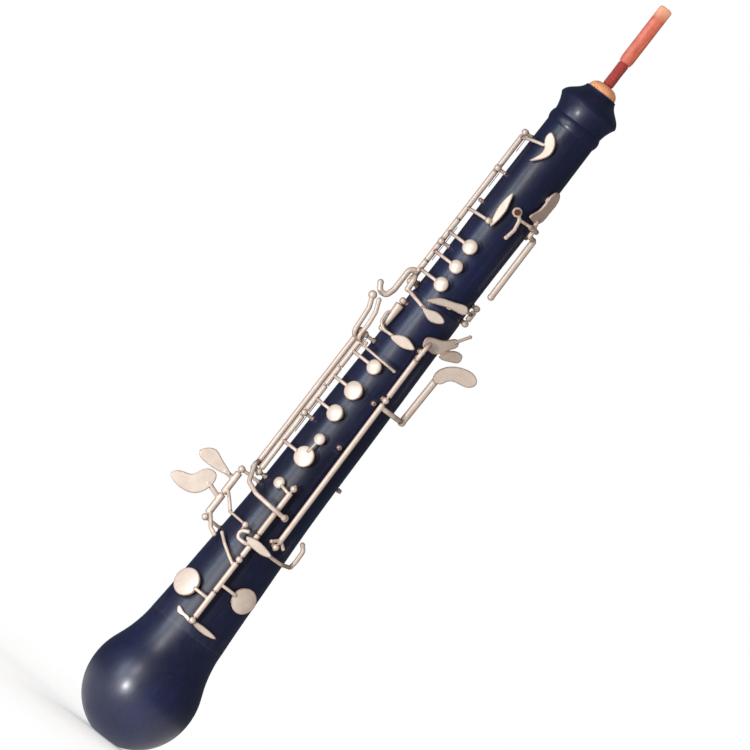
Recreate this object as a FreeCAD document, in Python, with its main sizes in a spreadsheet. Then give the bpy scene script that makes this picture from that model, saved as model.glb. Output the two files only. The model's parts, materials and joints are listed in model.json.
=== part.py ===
"""Oboe with a bulb bell: turned wooden joints, hinged silver keys on steel rods, and a double reed.

The origin is the centre of the bell's rim, +Z runs up the bore to the reed and -Y faces the listener,
so the keys lie on the -Y side.  All sizes are millimetres and all driving sizes live in one sheet.
"""
import FreeCAD, Part
import math
import os
from FreeCAD import Placement, Rotation, Vector

UP = Vector(0, 0, 1)
NODES = {}

# ---------------------------------------------------------------- driving dimensions

SIZES = {
    "bell_top": 108.0,
    "lower_top": 434.0,
    "upper_top": 650.0,
    "tenon_length": 20.0,
    "bell_socket_radius": 15.0,
    "joint_socket_radius": 13.0,
    "tenon_clearance": 0.6,
    "cork_clearance": 0.06,
    "cork_length": 12.0,
    "bell_mouth_radius": 11.0,
    "bell_mouth_length": 4.0,
    "bore_top_radius": 2.3,
    "bore_joint_radius": 4.6,
    "bore_bell_radius": 8.0,
    "reed_well_radius": 4.0,
    "reed_well_depth": 24.0,
    "rod_radius": 1.1,
    "tube_radius": 2.4,
    "thick_tube_radius": 3.0,
    "running_clearance": 0.04,
    "post_radius": 1.5,
    "post_ball_radius": 3.0,
    "guide_ball_radius": 1.9,
    "guide_hole_radius": 0.8,
    "post_base_radius": 2.3,
    "post_base_height": 0.9,
    "post_stem_radius": 1.2,
    "post_stem_depth": 5.0,
    "post_stem_clearance": 0.05,
    "post_lift": 0.15,
    "pad_thickness": 1.4,
    "pad_inset": 0.6,
    "pad_lift": 0.15,
    "cup_height": 2.0,
    "cup_dome": 1.5,
    "arm_radius": 1.5,
    "thin_arm_radius": 1.2,
    "bar_radius": 2.4,
    "knuckle": 0.25,
    "bend_radius": 5.0,
    "plate_thickness": 2.4,
    "spring_radius": 0.3,
    "spring_length": 15.0,
    "spring_drop": 3.5,
    "screw_radius": 1.2,
    "screw_length": 6.0,
    "tone_hole_share": 0.55,
    "octave_pivot_angle": 55.0,
    "octave_pivot_height": 530.0,
    "octave_pivot_reach": 28.6,
    "staple_radius": 2.4,
    "staple_wall": 0.4,
    "staple_top": 676.0,
    "reed_cork_radius": 12.8,
    "reed_cork_top_radius": 5.2,
    "reed_cork_top": 657.6,
    "thread_radius": 4.6,
    "thread_top": 680.0,
    "blade_top": 736.0,
    "blade_half_width": 5.75,
    "blade_rise": 2.7,
    "blade_wall": 1.0,
    "blade_corner": 2.4,
    "blade_gap": 0.15,
    "blade_root": 668.0,
}

# Outside of the wood: height up the bore and radius there.
OUTLINES = {
    "bell": [
        (0, 13.8), (2.4, 19.4), (7, 27), (16, 36.2), (30, 43.9),
        (48, 47), (64, 45), (80, 39.2), (92, 36), (108, 34.1),
    ],
    "lower": [(108, 34.1), (130, 32.6), (168, 30.6), (224, 27.6), (304, 25.8), (392, 24.1), (434, 23.4)],
    "upper": [(434, 23.0), (456, 22.3), (516, 22.6), (576, 22.4), (609, 22.1)],
    "finial": [(619, 22.1), (626, 23.6), (633, 26.8), (637, 25.2), (643, 18.8), (650, 14.0)],
}

# Hinge rods: foot x, y, z and head x, y, z.
RODS = {
    "finger_rod": (-29.2, -9.0, 434.6, -29.2, -9.0, 554.6),
    "trill_rod": (-29.2, -1.6, 437.4, -29.2, -1.6, 590.6),
    "g_sharp_rod": (26.2, -5.0, 434.6, 26.2, -5.0, 455.0),
    "inner_rod": (-32.0, -14.5, 240.0, -32.0, -14.5, 385.0),
    "outer_rod": (-37.0, -8.0, 240.0, -37.0, -8.0, 385.0),
    "right_rod": (15.6, -30.4, 201.0, 12.8, -27.0, 401.0),
    "low_key_rod": (-1.5, -39.4, 115.0, -1.5, -32.9, 253.0),
    "little_finger_rod": (-44.0, -8.0, 185.6, -44.0, -8.0, 239.4),
    "forked_rod": (-24.2, -14.5, 391.6, -24.2, -14.5, 424.4),
    "thumb_rod": (14.0, 24.0, 512.0, 14.0, 24.0, 532.0),
}

# Hinge tubes: the rod each key turns on, and the heights its tube runs between.
TUBES = {
    "bridge_key": ("finger_rod", 440.8, 446.6),
    "g_key": ("finger_rod", 447.2, 458.6),
    "a_key": ("finger_rod", 459.2, 475.2),
    "c_key": ("finger_rod", 481.2, 500.4),
    "half_hole_key": ("finger_rod", 501.0, 548.8),
    "trill_key": ("trill_rod", 443.6, 585.0),
    "g_sharp_key": ("g_sharp_rod", 440.6, 449.4),
    "thumb_octave_key": ("thumb_rod", 517.2, 526.8),
    "f_sharp_key": ("inner_rod", 349.6, 378.8),
    "e_key": ("inner_rod", 331.0, 349.0),
    "d_key": ("inner_rod", 305.8, 330.4),
    "d_vent_key": ("inner_rod", 246.6, 300.2),
    "left_b_flat_key": ("outer_rod", 246.6, 378.8),
    "forked_f_key": ("forked_rod", 397.6, 418.4),
    "e_flat_lever": ("right_rod", 353.6, 394.6),
    "low_b_lever": ("right_rod", 207.4, 346.6),
    "c_touch": ("little_finger_rod", 191.8, 211.6),
    "c_sharp_touch": ("little_finger_rod", 212.2, 233.4),
    "low_b_key": ("low_key_rod", 121.2, 146.4),
    "low_c_key": ("low_key_rod", 147.0, 175.6),
    "low_rocker": ("low_key_rod", 182.0, 203.6),
    "c_sharp_vent_key": ("low_key_rod", 204.2, 246.0),
}

# Pad cups: sideways place, height and radius.
CUPS = {
    "g_key": (-6.8, 450.4, 6.2),
    "a_key": (-6.0, 468.8, 5.8),
    "c_key": (-6.8, 488.0, 6.4),
    "f_sharp_key": (-9.2, 365.6, 6.4),
    "e_key": (-10.8, 340.8, 8.0),
    "d_key": (-11.6, 317.6, 7.2),
    "d_vent_key": (-9.6, 275.2, 8.8),
    "low_c_key": (20.8, 154.4, 11.0),
    "low_b_key": (-22.8, 139.2, 11.8),
    "c_sharp_vent_key": (-13.8, 246.6, 4.9),
}

# How far each open-standing key rests from closed, in degrees about its rod, right-handed about +Z.
REST_SWING = {
    "half_hole_key": -4.0,
    "g_key": -5.0,
    "a_key": -5.0,
    "c_key": -5.0,
    "f_sharp_key": -5.0,
    "e_key": -5.0,
    "d_key": -5.0,
    "d_vent_key": -5.0,
    "low_c_key": -5.0,
    "low_b_key": 5.0,
}

# Heights of the posts on each rod.
POSTS = {
    "finger_rod": (437.6, 478.2, 552.0),
    "trill_rod": (440.4, 588.2),
    "g_sharp_rod": (437.4, 452.4),
    "thumb_rod": (514.2, 529.8),
    "inner_rod": (243.4, 303.0, 382.0),
    "outer_rod": (243.4, 382.0),
    "forked_rod": (394.4, 421.6),
    "right_rod": (204.2, 350.0, 398.0),
    "low_key_rod": (118.0, 178.8, 249.6),
    "little_finger_rod": (188.6, 236.6),
}

doc = FreeCAD.newDocument("oboe")
sheet = doc.addObject("Spreadsheet::Sheet", "dims")


def fill_sheet():
    """Write every driving dimension into the sheet as a plain number with an alias."""
    rows = list(SIZES.items())
    for part, stations in OUTLINES.items():
        for index, (height, radius) in enumerate(stations):
            rows.append((f"{part}_height_{index}", height))
            rows.append((f"{part}_radius_{index}", radius))
    for rod, values in RODS.items():
        for axis, value in zip(("foot_x", "foot_y", "foot_z", "head_x", "head_y", "head_z"), values):
            rows.append((f"{rod}_{axis}", value))
    for key, (_, low, high) in TUBES.items():
        rows.append((f"{key}_tube_low", low))
        rows.append((f"{key}_tube_high", high))
    for key, (across, height, radius) in CUPS.items():
        rows.append((f"{key}_cup_across", across))
        rows.append((f"{key}_cup_height", height))
        rows.append((f"{key}_cup_radius", radius))
    for number, (alias, value) in enumerate(rows, start=1):
        sheet.set(f"A{number}", str(value))
        sheet.setAlias(f"A{number}", alias)
    doc.recompute()


def size(alias):
    """A driving dimension, read from the sheet."""
    return float(sheet.get(alias))


def bind(piece, **sizes):
    """Bind properties of a piece to expressions over the sheet, or set them when given a number."""
    for prop, source in sizes.items():
        if isinstance(source, str):
            piece.setExpression(prop, source)
        else:
            setattr(piece, prop, source)
    return piece


# ---------------------------------------------------------------- places


def wood_radius(height):
    """Outside radius of the wood at a height up the bore."""
    stations = [station for outline in OUTLINES.values() for station in outline]
    for (low, first), (high, second) in zip(stations, stations[1:]):
        if low <= height <= high and high > low:
            return first + (second - first) * (height - low) / (high - low)
    return stations[-1][1]


def on_wood(across, height, lift):
    """The point in front of the wood at a sideways place, lifted clear of the wood along the radius."""
    radius = wood_radius(height) + lift
    return Vector(across, -math.sqrt(max(radius ** 2 - across ** 2, 0.0)), height)


def outward(place):
    """Unit vector straight out of the bore through a place."""
    return Vector(place.x, place.y, 0).normalize()


def on_rod(rod, height):
    """The point of a rod's axis at a height."""
    foot = Vector(size(rod + "_foot_x"), size(rod + "_foot_y"), size(rod + "_foot_z"))
    head = Vector(size(rod + "_head_x"), size(rod + "_head_y"), size(rod + "_head_z"))
    share = (height - foot.z) / (head.z - foot.z)
    return foot + (head - foot) * share


def rod_axis(rod):
    """Unit vector up a rod."""
    return (on_rod(rod, 500.0) - on_rod(rod, 100.0)).normalize()


def around(start, end, steps=4, bulge=0.0):
    """Points from start to end that turn about the bore, so that an arm between them clears the wood.

    The path stands out by bulge more at its middle.
    """
    angles = [math.atan2(place.x, -place.y) for place in (start, end)]
    reaches = [math.hypot(place.x, place.y) for place in (start, end)]
    places = []
    for step in range(steps + 1):
        share = step / steps
        angle = angles[0] + (angles[1] - angles[0]) * share
        reach = reaches[0] + (reaches[1] - reaches[0]) * share + bulge * math.sin(math.pi * share)
        height = start.z + (end.z - start.z) * share
        places.append(Vector(reach * math.sin(angle), -reach * math.cos(angle), height))
    return places


# ---------------------------------------------------------------- solids


def cylinder(name, radius, start, end):
    """A bound cylinder between two points."""
    piece = doc.addObject("Part::Cylinder", name)
    bind(piece, Radius=radius, Height=(end - start).Length)
    piece.Placement = Placement(start, Rotation(UP, end - start))
    return piece


def ball(name, radius, centre):
    """A bound sphere."""
    piece = bind(doc.addObject("Part::Sphere", name), Radius=radius)
    piece.Placement = Placement(centre, Rotation())
    return piece


def rounded_path(places, bend):
    """A wire through places whose corners are arcs of radius bend, or less where the legs are short."""
    edges = []
    here = places[0]
    for corner, beyond in zip(places[1:], places[2:]):
        before = (corner - here).normalize()
        after = (beyond - corner).normalize()
        half_turn = before.getAngle(after) / 2
        if half_turn < 0.01:
            continue
        leg = min(bend * math.tan(half_turn), 0.45 * (beyond - corner).Length, 0.9 * (corner - here).Length)
        reach = leg / math.tan(half_turn)
        inward = (after - before).normalize()
        centre = corner + inward * (reach / math.cos(half_turn))
        start = corner - before * leg
        finish = corner + after * leg
        edges.append(Part.makeLine(here, start))
        edges.append(Part.Arc(start, centre - inward * reach, finish).toShape())
        here = finish
    edges.append(Part.makeLine(here, places[-1]))
    return Part.Wire(edges)


def arm(name, places, radius="dims.arm_radius", tip=False):
    """A round bar bent along places; it starts inside another piece, and a tip rounds its free end."""
    spine = doc.addObject("Part::Feature", name + "_spine")
    spine.Shape = rounded_path(places, size("bend_radius"))
    ring = bind(doc.addObject("Part::Circle", name + "_ring"), Radius=radius)
    ring.Placement = Placement(places[0], Rotation(UP, places[1] - places[0]))
    bar = doc.addObject("Part::Sweep", name + "_bar")
    bar.Sections = [ring]
    bar.Spine = (spine, [f"Edge{number}" for number in range(1, len(spine.Shape.Edges) + 1)])
    bar.Solid = True
    bar.Frenet = False
    return [bar, ball(name + "_tip", radius + " + dims.knuckle", places[-1])] if tip else [bar]


def plate(name, outline, centre, tilt, thickness="dims.plate_thickness"):
    """A flat touch or leaf: an outline of (across, height) points seen from the front.

    The plate's inner face passes through centre and faces the bore at tilt degrees from the front.
    """
    lean = math.radians(tilt)
    normal = Vector(math.sin(lean), -math.cos(lean), 0)
    shrink = math.cos(lean)
    places = [Vector((across - centre.x) / shrink, height - centre.z, 0) for across, height in outline]
    sketch = doc.addObject("Sketcher::SketchObject", name + "_outline")
    curve = Part.BSplineCurve()
    curve.interpolate(Points=places, PeriodicFlag=True)
    sketch.addGeometry(curve, False)
    sideways = Vector(math.cos(lean), math.sin(lean), 0)
    sketch.Placement = Placement(centre, Rotation(sideways, UP, normal, "XYZ"))
    piece = doc.addObject("Part::Extrusion", name)
    piece.Base = sketch
    piece.DirMode = "Custom"
    piece.Dir = normal
    piece.Solid = True
    return bind(piece, LengthFwd=thickness)


def fused(name, pieces):
    """One solid from pieces that run into each other, joined one after another."""
    whole = pieces[0]
    for piece in pieces[1:]:
        joined = doc.addObject("Part::Fuse", name)
        joined.Base = whole
        joined.Tool = piece
        whole = joined
    return whole


def cut(name, base, tool):
    """A base with a tool's space taken away."""
    piece = doc.addObject("Part::Cut", name)
    piece.Base = base
    piece.Tool = tool
    return piece


def group(name, pieces):
    """Separate solids that share one node."""
    piece = doc.addObject("Part::Compound", name)
    piece.Links = pieces
    return piece


def node(label, piece, placement=None):
    """Register a finished sub-part under its node's name."""
    piece.Label = label
    if placement is not None:
        piece.Placement = placement
    NODES[label] = piece
    return piece


# ---------------------------------------------------------------- turned wood


def plane_of(body, role):
    """One of a body's own origin planes."""
    return next(feature for feature in body.Origin.OriginFeatures if feature.Role == role)


def profile(body, name, runs):
    """A closed half-section on the body's XZ plane: each run is a list of (radius, height) points.

    A run of two points is a straight line, and a longer run is one smooth curve through its points.
    """
    sketch = body.newObject("Sketcher::SketchObject", name)
    sketch.AttachmentSupport = (plane_of(body, "XZ_Plane"), [""])
    sketch.MapMode = "FlatFace"
    for run in runs:
        places = [Vector(radius, height, 0) for radius, height in run]
        if len(places) == 2:
            sketch.addGeometry(Part.LineSegment(places[0], places[1]), False)
        else:
            curve = Part.BSplineCurve()
            curve.interpolate(places)
            sketch.addGeometry(curve, False)
    return sketch


def turn(body, kind, name, runs):
    """Revolve a profile about the bore: kind is Revolution for wood and Groove for a hollow."""
    feature = body.newObject("PartDesign::" + kind, name)
    sketch = profile(body, name + "_profile", runs)
    feature.Profile = sketch
    feature.ReferenceAxis = (sketch, ["V_Axis"])
    feature.Angle = 360
    return feature


def chain(points):
    """Straight runs that close a polygon of (radius, height) points."""
    return [[start, end] for start, end in zip(points, points[1:] + points[:1])]


def drill(body, name, radius, start, end):
    """A round hole between two places, bound to the sheet."""
    hole = body.newObject("PartDesign::SubtractiveCylinder", name)
    bind(hole, Radius=radius, Height=(end - start).Length)
    hole.Placement = Placement(start, Rotation(UP, end - start))


def drill_seat(body, name, place):
    """A blind hole in the wood for the stem of the post that stands at a place."""
    out = outward(place)
    surface = out * wood_radius(place.z) + UP * place.z
    deep = surface - out * (size("post_stem_depth") + 0.5)
    drill(body, name, "dims.post_stem_radius + dims.post_stem_clearance", deep, surface + out * 2)


def drill_post_seats(body, rods):
    """Blind holes in the wood for the screwed stems of the rods' posts."""
    for rod in rods:
        for height in POSTS[rod]:
            drill_seat(body, f"{rod}_seat", on_rod(rod, height))


def drill_tone_holes(body, keys):
    """A tone hole into the bore under each pad."""
    for key in keys:
        across = size(key + "_cup_across")
        place = on_wood(across, size(key + "_cup_height"), 2.0)
        inner = UP * place.z
        drill(body, key + "_tone_hole", f"dims.{key}_cup_radius * dims.tone_hole_share", inner, place)


def outline(part):
    """A section's outside as (radius, height) points, read from the sheet."""
    count = len(OUTLINES[part])
    return [(size(f"{part}_radius_{index}"), size(f"{part}_height_{index}")) for index in range(count)]


def build_bell():
    """Bulb bell: hollow bulb, a short straight mouth, and a socket for the lower joint's tenon."""
    body = doc.addObject("PartDesign::Body", "bell")
    outside = outline("bell")
    top = size("bell_top")
    socket = size("bell_socket_radius")
    floor = top - size("tenon_length")
    mouth = size("bell_mouth_radius")
    lip = size("bell_mouth_length")
    bore = size("bore_bell_radius")
    inside = [(bore, floor), (14.0, floor - 12.0), (31.0, floor - 34.0), (36.0, 38.0), (25.0, 13.0)]
    inside += [(mouth, lip)]
    runs = [outside, [outside[-1], (socket, top)], [(socket, top), (socket, floor)]]
    runs += [[(socket, floor), (bore, floor)], inside, [(mouth, lip), (mouth, 0)], [(mouth, 0), outside[0]]]
    turn(body, "Revolution", "bell_turning", runs)
    return node("bell", body)


def build_lower_joint():
    """Lower joint: tenon at the foot, socket at the head, a conical bore, tone holes and post seats."""
    body = doc.addObject("PartDesign::Body", "lower_joint")
    outside = outline("lower")
    foot = size("bell_top")
    top = size("lower_top")
    length = size("tenon_length")
    tenon = size("bell_socket_radius") - size("tenon_clearance")
    socket = size("joint_socket_radius")
    wide = size("bore_bell_radius")
    narrow = size("bore_joint_radius")
    end = foot - length + 0.2
    corners = [(wide, end), (tenon, end), (tenon, foot), outside[0]]
    rim = [outside[-1], (socket, top), (socket, top - length), (narrow, top - length), (wide, end)]
    runs = [[a, b] for a, b in zip(corners, corners[1:])] + [outside]
    runs += [[a, b] for a, b in zip(rim, rim[1:])]
    turn(body, "Revolution", "lower_turning", runs)
    cork_groove(body, "lower_cork_groove", tenon, foot)
    drill_tone_holes(body, LOWER_CUPS)
    drill_post_seats(body, LOWER_RODS)
    for place in guide_post_places():
        drill_seat(body, "guide_seat", place)
    for start, finish in thumb_rest_screws():
        drill(body, "thumb_rest_pilot", "dims.screw_radius + dims.post_stem_clearance", start, finish)
    return node("lower_joint", body)


def cork_groove(body, name, tenon, shoulder):
    """The shallow groove in a tenon that holds its cork sleeve."""
    high = shoulder - (size("tenon_length") - size("cork_length")) / 2
    low = high - size("cork_length")
    inner = tenon - 1.2
    outer = tenon + 1
    turn(body, "Groove", name, chain([(inner, low), (outer, low), (outer, high), (inner, high)]))


def build_tenon_cork(label, socket, shoulder):
    """A cork sleeve that fills the tenon's groove and fits the socket."""
    body = doc.addObject("PartDesign::Body", label)
    high = shoulder - (size("tenon_length") - size("cork_length")) / 2 - 0.02
    low = high - size("cork_length") + 0.04
    inner = socket - size("tenon_clearance") - 1.18
    outer = socket - size("cork_clearance")
    section = [(inner, low), (outer, low), (outer, high), (inner, high)]
    turn(body, "Revolution", label + "_sleeve", chain(section))
    return node(label, body)


def build_upper_joint():
    """Upper joint with the finial turned on its head, a ring bead, a tenon, the bore and the reed well."""
    body = doc.addObject("PartDesign::Body", "upper_joint")
    outside = outline("upper")
    finial = outline("finial")
    foot = size("lower_top")
    top = size("upper_top")
    tenon = size("joint_socket_radius") - size("tenon_clearance")
    end = foot - size("tenon_length") + 0.2
    narrow = size("bore_top_radius")
    wide = size("bore_joint_radius")
    well = size("reed_well_radius")
    floor = top - size("reed_well_depth")
    bead = [outside[-1], (23.2, 612.0), (23.2, 616.0), finial[0]]
    corners = [(wide, end), (tenon, end), (tenon, foot), outside[0]]
    rim = [finial[-1], (well, top), (well, floor), (narrow, floor), (wide, end)]
    runs = [[a, b] for a, b in zip(corners, corners[1:])] + [outside]
    runs += [bead, finial[:3], finial[2:]]
    runs += [[a, b] for a, b in zip(rim, rim[1:])]
    turn(body, "Revolution", "upper_turning", runs)
    cork_groove(body, "upper_cork_groove", tenon, foot)
    drill_tone_holes(body, UPPER_CUPS)
    drill_post_seats(body, UPPER_RODS)
    drill_seat(body, "guide_seat", upper_guide_place())
    return node("upper_joint", body)


# ---------------------------------------------------------------- rods, posts and springs

UPPER_RODS = ("finger_rod", "trill_rod", "g_sharp_rod", "thumb_rod")
LOWER_RODS = ("inner_rod", "outer_rod", "forked_rod", "right_rod", "low_key_rod", "little_finger_rod")
UPPER_CUPS = ("g_key", "a_key", "c_key")
LOWER_CUPS = ("f_sharp_key", "e_key", "d_key", "d_vent_key", "low_c_key", "low_b_key", "c_sharp_vent_key")


def rod_solid(rod):
    """The steel rod itself."""
    foot = on_rod(rod, size(rod + "_foot_z"))
    head = on_rod(rod, size(rod + "_head_z"))
    return cylinder(rod, "dims.rod_radius", foot, head)


def rod_tunnel(rod, clearance, low, high):
    """The space a rod needs inside a post or a hinge tube."""
    return cylinder(rod + "_tunnel", f"dims.rod_radius + {clearance}", on_rod(rod, low), on_rod(rod, high))


def post(rod, height, extra=()):
    """A turned post: screwed stem, base, pillar and a drilled ball that holds the rod."""
    place = on_rod(rod, height)
    out = outward(place)
    surface = out * (wood_radius(height) + size("post_lift")) + UP * height
    pieces = pillar(rod, surface, out, place) + list(extra)
    body = fused(f"{rod}_post_body", pieces)
    return cut(f"{rod}_post", body, rod_tunnel(rod, "0.02", height - 6, height + 6))


def pillar(name, surface, out, top, head="dims.post_ball_radius"):
    """The turned shape of a post from the wood's surface out to the ball."""
    stem = cylinder(name + "_stem", "dims.post_stem_radius", surface - out * size("post_stem_depth"), surface)
    rise = out * size("post_base_height")
    base = cylinder(name + "_base", "dims.post_base_radius", surface, surface + rise)
    shank = cylinder(name + "_shank", "dims.post_radius", surface, top)
    return [stem, base, shank, ball(name + "_head", head, top)]


def foot_blades():
    """The two leaf blades at the foot of the lowest post."""
    left = [(-17.2, 119.4), (-13.0, 115.4), (-9.6, 116.0), (-1.6, 115.0), (-5.0, 118.6), (-10.4, 119.0)]
    right = [(-1.0, 117.4), (11.0, 119.4), (22.0, 117.2), (12.0, 114.2)]
    blades = [plate("foot_left", left, on_wood(-10.0, 117.0, 1.6), -17.0, 1.6)]
    blades.append(plate("foot_right", right, on_wood(11.0, 117.0, 1.8), 19.0, 1.6))
    return blades


def guide_post_places():
    """Small guide posts beside the right-hand rod and on the lower joint's edge."""
    first = on_wood(7.8, 342.4, 2.6)
    second = on_wood(7.6, 297.8, 2.6)
    edge = Vector(28.8, -1.0, 270.0)
    return [first, second, edge]


def upper_guide_place():
    """A small guide post between the trill rod and the wood."""
    return Vector(-24.6, -5.6, 523.4)


def guide_post(place):
    """A small post with a hollowed head."""
    out = outward(place)
    surface = out * (wood_radius(place.z) + size("post_lift")) + UP * place.z
    body = fused("guide_body", pillar("guide", surface, out, place, "dims.guide_ball_radius"))
    hollow = cylinder("guide_hollow", "dims.guide_hole_radius", place + out * 0.4, place + out * 4.0)
    return cut("guide_post", body, hollow)


def build_posts():
    """All posts, as one node for each joint."""
    upper = [post(rod, height) for rod in UPPER_RODS for height in POSTS[rod]]
    lower = []
    for rod in LOWER_RODS:
        for height in POSTS[rod]:
            lowest_low_post = rod == "low_key_rod" and height == POSTS[rod][0]
            lower.append(post(rod, height, foot_blades() if lowest_low_post else ()))
    upper.append(guide_post(upper_guide_place()))
    for place in guide_post_places():
        lower.append(guide_post(place))
    node("upper_posts", group("upper_post_set", upper))
    node("lower_posts", group("lower_post_set", lower))


def spring(rod, height, direction):
    """A needle spring that runs from a post along the rod, on the wood's side of it."""
    place = on_rod(rod, height)
    inward = outward(place) * -size("spring_drop")
    axis = rod_axis(rod) * direction
    start = place + inward + axis * (size("post_radius") + 0.1)
    return cylinder(rod + "_spring", "dims.spring_radius", start, start + axis * size("spring_length"))


def build_rods_and_springs():
    """Steel rods and needle springs."""
    node("upper_long_rods", group("upper_long_rod_set", [rod_solid("finger_rod"), rod_solid("trill_rod")]))
    short = [rod_solid("g_sharp_rod"), rod_solid("thumb_rod"), octave_pin()]
    node("upper_short_rods", group("upper_short_rod_set", short))
    long_rods = [rod_solid(rod) for rod in ("inner_rod", "outer_rod", "right_rod", "low_key_rod")]
    node("lower_long_rods", group("lower_long_rod_set", long_rods))
    short = [rod_solid("little_finger_rod"), rod_solid("forked_rod")]
    node("lower_short_rods", group("lower_short_rod_set", short))
    upper = [spring("finger_rod", 478.2, 1), spring("finger_rod", 478.2, -1), spring("finger_rod", 552.0, -1)]
    upper += [spring("trill_rod", 588.2, -1)]
    lower = [spring("inner_rod", 303.0, 1), spring("inner_rod", 303.0, -1), spring("inner_rod", 382.0, -1)]
    lower += [spring("outer_rod", 243.4, 1), spring("right_rod", 350.0, 1), spring("right_rod", 350.0, -1)]
    lower += [spring("low_key_rod", 178.8, -1), spring("low_key_rod", 249.6, -1)]
    lower.append(spring("low_key_rod", 118.0, 1))
    node("upper_springs", group("upper_spring_set", upper))
    node("lower_springs", group("lower_spring_set", lower))


# ---------------------------------------------------------------- keys


def tube(key):
    """The hinge tube of a key."""
    rod = TUBES[key][0]
    low = size(key + "_tube_low")
    high = size(key + "_tube_high")
    return cylinder(key + "_tube", "dims.tube_radius", on_rod(rod, low), on_rod(rod, high))


def thick_tube(key):
    """A stouter sleeve over most of a hinge tube."""
    rod = TUBES[key][0]
    low = on_rod(rod, size(key + "_tube_low") + 0.6)
    high = on_rod(rod, size(key + "_tube_high") - 0.6)
    return cylinder(key + "_sleeve", "dims.thick_tube_radius", low, high)


def swing(key):
    """How an open-standing key rests: turned about its rod away from the closed place."""
    rod = TUBES[key][0]
    swing = Rotation(rod_axis(rod), REST_SWING.get(key, 0.0))
    return Placement(Vector(), swing, on_rod(rod, size(key + "_tube_low")))


def build_key(key, pieces):
    """Fuse a key's tube with its arms and touches, and run the rod's tunnel through it."""
    rod = TUBES[key][0]
    body = fused(key + "_body", [tube(key)] + pieces)
    tunnel = rod_tunnel(rod, "dims.running_clearance", size(rod + "_foot_z"), size(rod + "_head_z"))
    return node(key, cut(key + "_key", body, tunnel), swing(key))


def seat_radius(height, radius):
    """How far from the bore a closed pad's face stands, clear of the widest wood under it."""
    return wood_radius(height - radius) + size("pad_lift")


def build_pad(key, radius, place):
    """A pad under a cup: radius and place are the cup's, and the pad turns with the key."""
    out = outward(place)
    seat = out * seat_radius(place.z, radius) + UP * place.z
    disc_radius = radius - size("pad_inset")
    pad = cylinder(key + "_pad_disc", disc_radius, seat, seat + out * size("pad_thickness"))
    return node(key + "_pad", group(key + "_pad_set", [pad]), swing(key))


def cup(key, radius, place):
    """A domed pad cup sitting on its pad."""
    out = outward(place)
    low = out * (seat_radius(place.z, radius) + size("pad_thickness") + 0.01) + UP * place.z
    wall = size("cup_height")
    dome = size("cup_dome")
    sphere_radius = (radius ** 2 + dome ** 2) / (2 * dome)
    disc = cylinder(key + "_cup_disc", radius, low, low + out * (wall + dome + 0.5))
    crown = ball(key + "_cup_crown", sphere_radius, low + out * (wall + dome - sphere_radius))
    domed = doc.addObject("Part::MultiCommon", key + "_cup")
    domed.Shapes = [disc, crown]
    return domed


def cup_place(key):
    """A point over the middle of a key's cup."""
    return on_wood(size(key + "_cup_across"), size(key + "_cup_height"), 3.0)


def cup_side(key, start):
    """Where an arm from start runs into the side of a key's cup, just clear of the pad."""
    place = cup_place(key)
    out = outward(place)
    radius = size(key + "_cup_radius")
    lift = seat_radius(place.z, radius) + size("pad_thickness") + size("arm_radius") + 0.3
    middle = out * lift + UP * place.z
    across = start - middle
    across = (across - out * across.dot(out)).normalize()
    return middle + across * (radius - 1.4)


def finger_key(key, extra=()):
    """A key with one round cup on an arm that crosses from its rod."""
    place = cup_place(key)
    radius = size(key + "_cup_radius")
    lowest = size(key + "_tube_low") + 2
    highest = size(key + "_tube_high") - 2
    start = on_rod(TUBES[key][0], min(max(place.z, lowest), highest))
    path = around(start, cup_side(key, start), bulge=0.9)
    build_key(key, [cup(key, radius, place)] + arm(key + "_arm", path) + list(extra))
    build_pad(key, radius, place)


def build_upper_finger_keys():
    """The round-cupped keys of the left hand."""
    finger_key("g_key")
    finger_key("a_key")
    finger_key("c_key")


def build_half_hole_key():
    """Half-hole key: a teardrop touch with a long leaf above it."""
    key = "half_hole_key"
    touch = on_wood(-8.0, 513.8, 3.6)
    pieces = arm(key + "_arm", around(on_rod("finger_rod", 512.0), touch))
    pieces.append(ball(key + "_teardrop", 3.0, touch))
    leaf = [(-4.6, 511.6), (-7.6, 522.0), (-8.2, 532.6), (-5.6, 543.4), (-2.8, 535.2), (-1.2, 524.4)]
    pieces.append(plate(key + "_leaf", leaf, on_wood(-4.8, 528.0, 1.8), -12.5))
    build_key(key, pieces)
    build_pad(key, 3.6, on_wood(-4.8, 525.0, 2.0))


def build_trill_key():
    """Trill key: a long tube with a sail-shaped cup at its head and a spoon at its foot."""
    key = "trill_key"
    touch = on_wood(-10.6, 588.6, 3.2)
    pieces = arm(key + "_arm", around(on_rod("trill_rod", 582.6), touch, 5))
    sail = [(-11.4, 600.2), (-5.0, 596.0), (-1.8, 588.4), (-4.0, 580.0)]
    sail += [(-12.4, 571.6), (-8.8, 581.0), (-9.6, 588.0), (-13.4, 594.0)]
    pieces.append(plate(key + "_sail", sail, on_wood(-7.0, 586.0, 1.8), -17.0))
    spoon = [on_rod("trill_rod", 447.4), Vector(-35.4, -2.0, 446.0), Vector(-35.4, -3.0, 424.6)]
    spoon += [Vector(-37.8, -4.0, 416.8), Vector(-44.0, -4.6, 416.8), Vector(-47.6, -4.6, 422.6)]
    pieces += arm(key + "_spoon", spoon, "dims.bar_radius", tip=True)
    build_key(key, pieces)
    build_pad(key, 3.8, on_wood(-6.0, 587.0, 2.0))


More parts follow.
